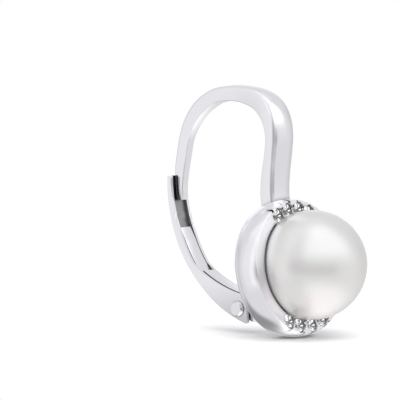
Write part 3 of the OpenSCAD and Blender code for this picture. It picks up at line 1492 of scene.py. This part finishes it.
@dataclass
class Hinge:
    """The lever and what it turns on: its channel with two ears, the lug, the spring strip and the pin.

    The three numbers of an arc are its first angle, its last angle and its steps.
    """

    hub: Point = (1.8, 6.0)
    width: float = 1.8
    wall: float = 0.25
    back_r: float = 10.57
    floor_r: float = 10.39
    rim_r: float = 10.06
    rim_rise: float = 0.20
    rim_rise_z: float = 3.2
    rim_lead: float = 0.8
    rim_overrun: float = 4.0
    rim_steps: int = 60
    back_steps: int = 90
    back_stop: float = 4.0
    top_z: float = 7.88
    top_round: float = 0.13
    top_run: float = 3.0
    top_steps: int = 6
    ear_end_y: float = 6.1
    ear_top_z: float = -1.55
    ear_round: float = 0.18
    ear_join: Point = (10.2, 0.8)
    ear_arc_r: float = 12.0
    ear_steps: int = 24
    ear_corner: tuple[float, float, int] = (180, 260, 8)
    fork_r: float = 1.5
    clear: float = 1.0
    channel_sides: int = 360
    fork_sides: int = 96
    end_sides: int = 240
    bore_sides: int = 48
    lug_root: tuple[Point, ...] = ((4.4, -1.9), (3.1, -3.5), (3.1, -4.17), (6.0, -3.47))
    lug_back: tuple[float, float, int] = (-64, -20, 40)
    lug_back_y: float = 6.3
    lug_bore_gap: float = 0.03
    lug_w: float = 1.14
    lug_back_r: float = 10.2
    lug_end_r: float = 4.45
    lug_rise: float = 0.06
    strip_w: float = 1.16
    strip_t: float = 0.2
    strip_top_z: float = 4.05
    strip_bend_z: float = 3.05
    strip_low_z: float = 0.2
    strip_steps: int = 24
    strip_gap: float = 0.02
    strip_soft: float = 0.025
    strip_end_r: float = 4.52
    strip_high_r: float = 10.16
    pin_r: float = 0.3
    pin_gap: float = 0.02
    head_r: float = 0.6
    head_top_r: float = 0.468
    head_h: float = 0.25
    head_foot_round: float = 0.02
    head_round: float = 0.04
    pin_steps: int = 72
    edge: float = 0.035

    def __post_init__(self) -> None:
        """Reads the hinge's place from the frame."""
        self.pin = hinge_axis()

    def _bearing(self, centre: Point, point: Point) -> float:
        """Returns the angle from one point to another, in degrees."""
        return math.degrees(math.atan2(point[1] - centre[1], point[0] - centre[0]))

    def _on_arc(self, radius: float, angle: float) -> Point:
        """Returns the point of a circle round the hub at an angle, in degrees."""
        a = math.radians(angle)
        return self.hub[0] + radius * math.cos(a), self.hub[1] + radius * math.sin(a)

    def _ear_edge(self, rise: float = 0.0) -> list[Point]:
        """Draws the top edge of the ears, from their front end to the lever's rim.

        Args:
            rise: how far it is raised.

        Returns:
            The (Y, Z) points.
        """
        start = Vector((self.ear_end_y, self.ear_top_z))
        end = Vector(self.ear_join)
        way = (end - start).normalized()
        half = (end - start).length / 2
        centre = (start + end) / 2 + Vector((-way.y, way.x)) * math.sqrt(self.ear_arc_r**2 - half**2)
        first = self._bearing(centre, start)
        last = self._bearing(centre, end)
        return arc(tuple(centre), self.ear_arc_r - rise, first, last, self.ear_steps)

    def _lever_outline(self) -> list[Point]:
        """Draws the lever's side view.

        Returns:
            The (Y, Z) points.
        """
        y, z = self.hub
        soft = self.ear_round
        top_a = math.degrees(math.asin((self.top_z - z) / self.back_r))
        end_a = -math.degrees(math.acos((self.ear_end_y + soft - y) / self.back_r))
        corner = (self.ear_end_y + soft, self._on_arc(self.back_r, end_a)[1] + soft)
        start = top_a - self.rim_lead
        end = self._bearing(self.hub, self.ear_join) + self.rim_overrun
        rim = []
        for i in range(self.rim_steps + 1):
            angle = start + (end - start) * i / self.rim_steps
            height = self._on_arc(self.rim_r, angle)[1] - self.rim_rise_z
            rise = max(height, 0.0) / (self.top_z - self.rim_rise_z)
            rim.append(self._on_arc(self.rim_r + self.rim_rise * rise, angle))
        top_r = self.rim_r + self.rim_rise
        corners = [
            Corner(*self._on_arc(self.back_r, top_a - self.top_run)),
            Corner(self._on_arc(self.back_r, top_a)[0], self.top_z, self.top_round),
            Corner(self._on_arc(top_r, top_a)[0], self.top_z, self.top_round),
            Corner(*rim[2]),
        ]
        return [
            *arc(self.hub, self.back_r, end_a, top_a - self.back_stop, self.back_steps),
            *rounded(corners, self.top_steps, closed=False)[:-1],
            *rim[2:],
            *reversed(self._ear_edge()),
            *arc(corner, soft, *self.ear_corner),
        ]

    def lever(self, finishes: Finishes) -> bpy.types.Object:
        """Cuts the lever, its channel, its fork and the bore for the pin.

        Args:
            finishes: the materials.

        Returns:
            The finished lever.
        """
        inside = self.width - 2 * self.wall
        blank = plate("lever_arm", self._lever_outline(), self.width)
        tools = [
            bar("channel", self.hub, self.floor_r, inside, self.channel_sides),
            bar("fork", self.pin, self.fork_r, inside, self.fork_sides),
            bar("bore", self.pin, self.pin_r + self.pin_gap, self.width + self.clear, self.bore_sides),
        ]
        blank.carve(tools).soften(self.edge)
        return blank.finish(Body.LEVER, ["lever"], Slot.LEVER, finishes)

    def lug(self, finishes: Finishes) -> bpy.types.Object:
        """Cuts the tongue of the setting that lies between the lever's ears.

        Args:
            finishes: the materials.

        Returns:
            The finished lug.
        """
        back = [p for p in arc(self.hub, self.lug_back_r, *self.lug_back) if p[0] > self.lug_back_y]
        top = reversed(self._ear_edge(self.lug_rise))
        blank = plate("hinge_lug", [*self.lug_root, *back, *top], self.lug_w)
        blank.carve([bar("end", self.pin, self.lug_end_r, THROUGH, self.end_sides)], Carve.SHARED)
        blank.carve([bar("bore", self.pin, self.pin_r + self.lug_bore_gap, THROUGH, self.bore_sides)])
        blank.soften(self.edge)
        return blank.solder(finishes)

    def strip(self, finishes: Finishes) -> bpy.types.Object:
        """Bends the spring strip along the lever's floor.

        Args:
            finishes: the materials.

        Returns:
            The finished strip.
        """
        low_r = self.floor_r - self.strip_gap - self.strip_t / 2
        high_z = self.strip_top_z
        half = self.strip_t / 2
        outer = []
        inner = []
        for i in range(self.strip_steps + 1):
            z = high_z + (self.strip_low_z - high_z) * i / self.strip_steps
            lift = min(max((high_z - z) / (high_z - self.strip_bend_z), 0.0), 1.0)
            radius = low_r + (self.strip_high_r - low_r) * lift
            y = self.hub[0] + math.sqrt(radius**2 - (z - self.hub[1]) ** 2)
            out = Vector((y - self.hub[0], z - self.hub[1])) / radius
            outer.append((y + out.x * half, z + out.y * half))
            inner.append((y - out.x * half, z - out.y * half))
        blank = plate("spring_leaf", outer + inner[::-1], self.strip_w)
        blank.carve([bar("lug_end", self.pin, self.strip_end_r, THROUGH, self.end_sides)])
        blank.soften(self.strip_soft)
        return blank.finish(Body.LEVER, ["leaf_spring"], Slot.STRIP, finishes)

    def rivet(self, finishes: Finishes) -> bpy.types.Object:
        """Turns the hinge pin with its two flat-topped heads.

        Args:
            finishes: the materials.

        Returns:
            The finished pin.
        """
        start = self.width / 2 + self.pin_gap
        end = start + self.head_h
        corners = [
            Corner(self.pin_r, start),
            Corner(self.head_r, start, self.head_foot_round),
            Corner(self.head_top_r, end, self.head_round),
            Corner(0.0, end),
        ]
        half = rounded(corners, closed=False)
        profile = half + [(r, -d) for r, d in reversed(half)]
        blank = turned("rivet", profile, Axis.X, self.pin_steps)
        blank.object.data.transform(Matrix.Translation((0, *self.pin)))
        return blank.finish(Body.LEVER, ["hinge_pin"], Slot.PIN, finishes)


@dataclass
class Pearl:
    """The pearl, drilled at its back for the peg."""

    radius: float = 4.0
    drill_r: float = 0.45
    drill_depth: float = 2.6
    steps: int = 192
    rings: int = 110
    sharp: float = 50.0

    def build(self, finishes: Finishes) -> bpy.types.Object:
        """Turns the pearl with its hole.

        Args:
            finishes: the materials.

        Returns:
            The finished pearl.
        """
        mouth = math.degrees(math.acos(self.drill_r / self.radius))
        skin = arc((0.0, 0.0), self.radius, -90, mouth, self.rings)
        floor = self.radius - self.drill_depth
        profile = [*skin, (self.drill_r, floor), (0.0, floor)]
        blank = turned("pearl_ball", profile, Axis.Y, self.steps)
        return blank.finish(Body.EARRING, ["pearl"], Slot.PEARL, finishes, sharp=self.sharp)


@dataclass
class Viewpoint:
    """The photograph's viewpoint: its direction, its scale and the pearl's place in the picture."""

    azimuth: float = -48.65
    elevation: float = -2.0
    roll: float = 6.5
    pixels_per_mm: float = 13.75
    picture: int = 400
    pearl_pixel: Point = (312.4, 264.9)
    distance: float = 120.0
    reach: Point = (0.001, 5.0)

    def __post_init__(self) -> None:
        """Works out the picture's right, its up, and the direction to the camera."""
        a, e, r = (math.radians(x) for x in (self.azimuth, self.elevation, self.roll))
        self.back = Vector((math.sin(a) * math.cos(e), -math.cos(a) * math.cos(e), math.sin(e)))
        level = Vector((math.cos(a), math.sin(a), 0.0))
        upright = self.back.cross(level)
        self.right = level * math.cos(r) - upright * math.sin(r)
        self.up = upright * math.cos(r) + level * math.sin(r)

    def camera(self) -> bpy.types.Object:
        """Places the camera.

        Returns:
            The camera.
        """
        data = bpy.data.cameras.new("camera")
        data.type = "ORTHO"
        data.ortho_scale = self.picture / self.pixels_per_mm * MILLIMETRE
        data.clip_start, data.clip_end = self.reach
        half = self.picture / 2
        across = (half - self.pearl_pixel[0]) / self.pixels_per_mm
        above = (self.pearl_pixel[1] - half) / self.pixels_per_mm
        middle = pearl_centre() + self.right * across + self.up * above
        turn = Matrix((self.right, self.up, self.back)).transposed().to_4x4()
        camera = bpy.data.objects.new("camera", data)
        camera.matrix_world = Matrix.Translation((middle + self.back * self.distance) * MILLIMETRE) @ turn
        bpy.context.scene.collection.objects.link(camera)
        bpy.context.scene.camera = camera
        return camera


@dataclass(frozen=True)
class Panel:
    """A soft-edged panel of the surround, bright or dark, seen from the earring. Angles are in degrees."""

    turn: float
    height: float
    half_turn: float
    half_height: float
    soft: float
    gain: float

    def wire(self, wires: Wires, turn: object, height: object) -> bpy.types.NodeSocket:
        """Adds the panel's light to a tree.

        Args:
            wires: the tree's wires.
            turn: the ray's direction, turning right from the camera.
            height: the ray's height over the horizon.

        Returns:
            The light that the panel adds.
        """
        aside = wires.math("WRAP", wires.math("SUBTRACT", turn, self.turn), 180.0, -180.0)
        across = wires.math("ABSOLUTE", aside)
        above = wires.math("ABSOLUTE", wires.math("SUBTRACT", height, self.height))
        soft = self.soft
        wide = wires.ease(across, self.half_turn - soft, self.half_turn + soft, (1.0, 0.0))
        tall = wires.ease(above, self.half_height - soft, self.half_height + soft, (1.0, 0.0))
        return wires.math("MULTIPLY", wires.math("MULTIPLY", wide, tall), self.gain)


@dataclass
class Studio:
    """A plain pale floor, soft light from above and a bright, plain surround."""

    view: Viewpoint
    levels: tuple[tuple[float, float], ...] = (
        (0.0, 0.80),
        (0.30, 0.78),
        (0.42, 0.76),
        (0.50, 0.78),
        (0.62, 0.77),
        (0.85, 0.76),
        (1.0, 0.80),
    )
    panels: tuple[Panel, ...] = (
        Panel(turn=37, height=50, half_turn=57, half_height=36, soft=13, gain=0.55),
        Panel(turn=0, height=90, half_turn=181, half_height=26, soft=12, gain=0.18),
        Panel(turn=-56, height=14, half_turn=9, half_height=40, soft=7, gain=0.16),
        Panel(turn=-74, height=6, half_turn=20, half_height=34, soft=9, gain=0.10),
        Panel(turn=-74, height=55, half_turn=27, half_height=14, soft=9, gain=0.20),
        Panel(turn=-36, height=-4, half_turn=17, half_height=12, soft=9, gain=-0.36),
        Panel(turn=20, height=-9, half_turn=34, half_height=10, soft=10, gain=-0.33),
        Panel(turn=84, height=4, half_turn=16, half_height=9, soft=8, gain=0.05),
        Panel(turn=138, height=6, half_turn=20, half_height=20, soft=10, gain=-0.14),
        Panel(turn=-125, height=0, half_turn=14, half_height=20, soft=8, gain=-0.16),
        Panel(turn=-164, height=15, half_turn=26, half_height=13, soft=10, gain=0.26),
        Panel(turn=-149, height=-44, half_turn=26, half_height=25, soft=12, gain=-0.48),
        Panel(turn=88, height=-72, half_turn=106, half_height=31, soft=16, gain=0.48),
    )
    tint: Colour = (0.985, 0.985, 1.0, 1.0)
    floor_tilt: float = 7.0
    floor_r: float = 42.0
    floor_gap: float = 0.02
    floor_sides: int = 96
    floor_white: tuple[Colour, Colour] = ((0.90, 0.90, 0.90, 1.0), (0.93, 0.93, 0.93, 1.0))
    floor_grain: Point = (300.0, 2.0)
    floor_rough: float = 0.9
    floor_shine: float = 0.1
    dim: float = 0.06
    key_energy: float = 0.08
    key_size: float = 0.16
    key_distance: float = 0.09
    key_lean: Point = (0.05, 0.45)
    shading: tuple[str, ...] = (
        "ring",
        "pearl_ball",
        "stone_beads",
        "shoulder_pads",
        "strap",
        "cup_and_peg",
    )

    def __post_init__(self) -> None:
        """Works out the floor's upright."""
        t = math.radians(self.floor_tilt)
        self.upright = self.view.up * math.cos(t) + self.view.back * math.sin(t)

    def floor(self) -> bpy.types.Object:
        """Lays the floor just under the earring's lowest point.

        Returns:
            The floor.
        """
        lowest = min(self.upright.dot(v.co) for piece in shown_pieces() for v in piece.data.vertices)
        centre = pearl_centre() * MILLIMETRE
        drop = self.upright.dot(centre) - lowest + self.floor_gap * MILLIMETRE
        shape = bmesh.new()
        radius = self.floor_r * MILLIMETRE
        bmesh.ops.create_circle(shape, cap_ends=True, segments=self.floor_sides, radius=radius)
        turn = self.upright.to_track_quat("Z", "Y").to_matrix().to_4x4()
        place = Matrix.Translation(centre - self.upright * drop) @ turn
        bmesh.ops.transform(shape, matrix=place, verts=shape.verts[:])
        mesh = bpy.data.meshes.new("floor")
        shape.to_mesh(mesh)
        shape.free()
        floor = bpy.data.objects.new("floor", mesh)
        mesh.materials.append(self._floor_material())
        bpy.context.scene.collection.objects.link(floor)
        floor.visible_glossy = False
        floor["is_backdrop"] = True
        return floor

    def _floor_material(self) -> bpy.types.Material:
        """Makes the floor's white, which is clear from below.

        Returns:
            The material.
        """
        material, wires, shader = new_material("pale_floor")
        place = wires.add("TexCoord").outputs["Object"]
        grain = wires.noise(place, *self.floor_grain)
        wires.put(shader.inputs["Base Color"], wires.blend(grain, *self.floor_white))
        dress(shader, Roughness=self.floor_rough, Specular_IOR_Level=self.floor_shine)
        clear = wires.add("BsdfTransparent")
        below = wires.add("NewGeometry").outputs["Backfacing"]
        both = wires.choose(below, shader.outputs[0], clear.outputs[0])
        wires.put(material.node_tree.nodes["Material Output"].inputs["Surface"], both)
        return material

    def surround(self) -> None:
        """Builds the surround: plain to the camera, graded for the metal, and dim through the stones."""
        world = bpy.data.worlds.new("surround")
        bpy.context.scene.world = world
        world.use_nodes = True
        wires = Wires(world.node_tree)
        ray = wires.add("TexCoord").outputs["Generated"]
        up = wires.dot(ray, self.view.up)
        toward = wires.dot(ray, self.view.back)
        aside = wires.dot(ray, self.view.right)
        height = wires.math("DEGREES", wires.math("ARCSINE", up))
        turn = wires.math("DEGREES", wires.math("ARCTAN2", aside, toward))
        level = wires.ramp(wires.math("MULTIPLY_ADD", height, 1 / 180, 0.5), self.levels)
        for panel in self.panels:
            level = wires.math("ADD", level, panel.wire(wires, turn, height))
        graded = wires.add("Background")
        wires.put(graded.inputs["Strength"], level)
        dress(graded, Color=self.tint)
        faint = wires.add("Background")
        dress(faint, Strength=self.dim)
        plain = world.node_tree.nodes["Background"]
        dress(plain, Color=(1.0, 1.0, 1.0, 1.0))
        path = wires.add("LightPath")
        inner = wires.choose(path.outputs["Is Transmission Ray"], graded.outputs[0], faint.outputs[0])
        both = wires.choose(path.outputs["Is Camera Ray"], inner, plain.outputs[0])
        wires.put(world.node_tree.nodes["World Output"].inputs["Surface"], both)

    def lamp(self, floor: bpy.types.Object) -> bpy.types.Object:
        """Hangs the lamp that gives the floor its white and the earring its shadow.

        Args:
            floor: the floor, which is all that the lamp lights.

        Returns:
            The lamp.
        """
        data = bpy.data.lights.new("overhead_lamp", "AREA")
        data.shape = "DISK"
        data.size = self.key_size
        data.energy = self.key_energy
        lamp = bpy.data.objects.new("overhead_lamp", data)
        centre = pearl_centre() * MILLIMETRE
        lean = self.view.right * self.key_lean[0] + self.view.back * self.key_lean[1]
        toward = (self.upright + lean).normalized()
        lamp.location = centre + toward * self.key_distance
        lamp.rotation_mode = "QUATERNION"
        lamp.rotation_quaternion = toward.to_track_quat("Z", "Y")
        lit = bpy.data.collections.new("lit_by_lamp")
        lit.objects.link(floor)
        lamp.light_linking.receiver_collection = lit
        blockers = bpy.data.collections.new("shade_the_floor")
        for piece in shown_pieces():
            if piece.name in self.shading:
                blockers.objects.link(piece)
        lamp.light_linking.blocker_collection = blockers
        lamp.visible_camera = False
        lamp.visible_glossy = False
        bpy.context.scene.collection.objects.link(lamp)
        return lamp


def report(piece: bpy.types.Object) -> None:
    """Logs a finished piece and its number of faces."""
    log.info("%s: %d faces", piece.name, len(piece.data.polygons))


def main() -> None:
    """Builds the earring and its studio."""
    logging.basicConfig(level=logging.INFO, format="%(name)s %(message)s")
    bpy.context.scene.view_settings.view_transform = "Standard"
    finishes = Finishes()
    rows = StoneRows()
    hinge = Hinge()
    pieces = [
        Ring().build(rows, finishes),
        *rows.stones(finishes),
        *rows.beads(finishes),
        Hook().build(finishes),
        *Cradle().build(finishes),
        Pearl().build(finishes),
        hinge.lug(finishes),
        hinge.lever(finishes),
        hinge.strip(finishes),
        hinge.rivet(finishes),
    ]
    for piece in pieces:
        report(piece)
    view = Viewpoint()
    view.camera()
    studio = Studio(view)
    studio.lamp(studio.floor())
    studio.surround()


if __name__ == "__main__":
    main()
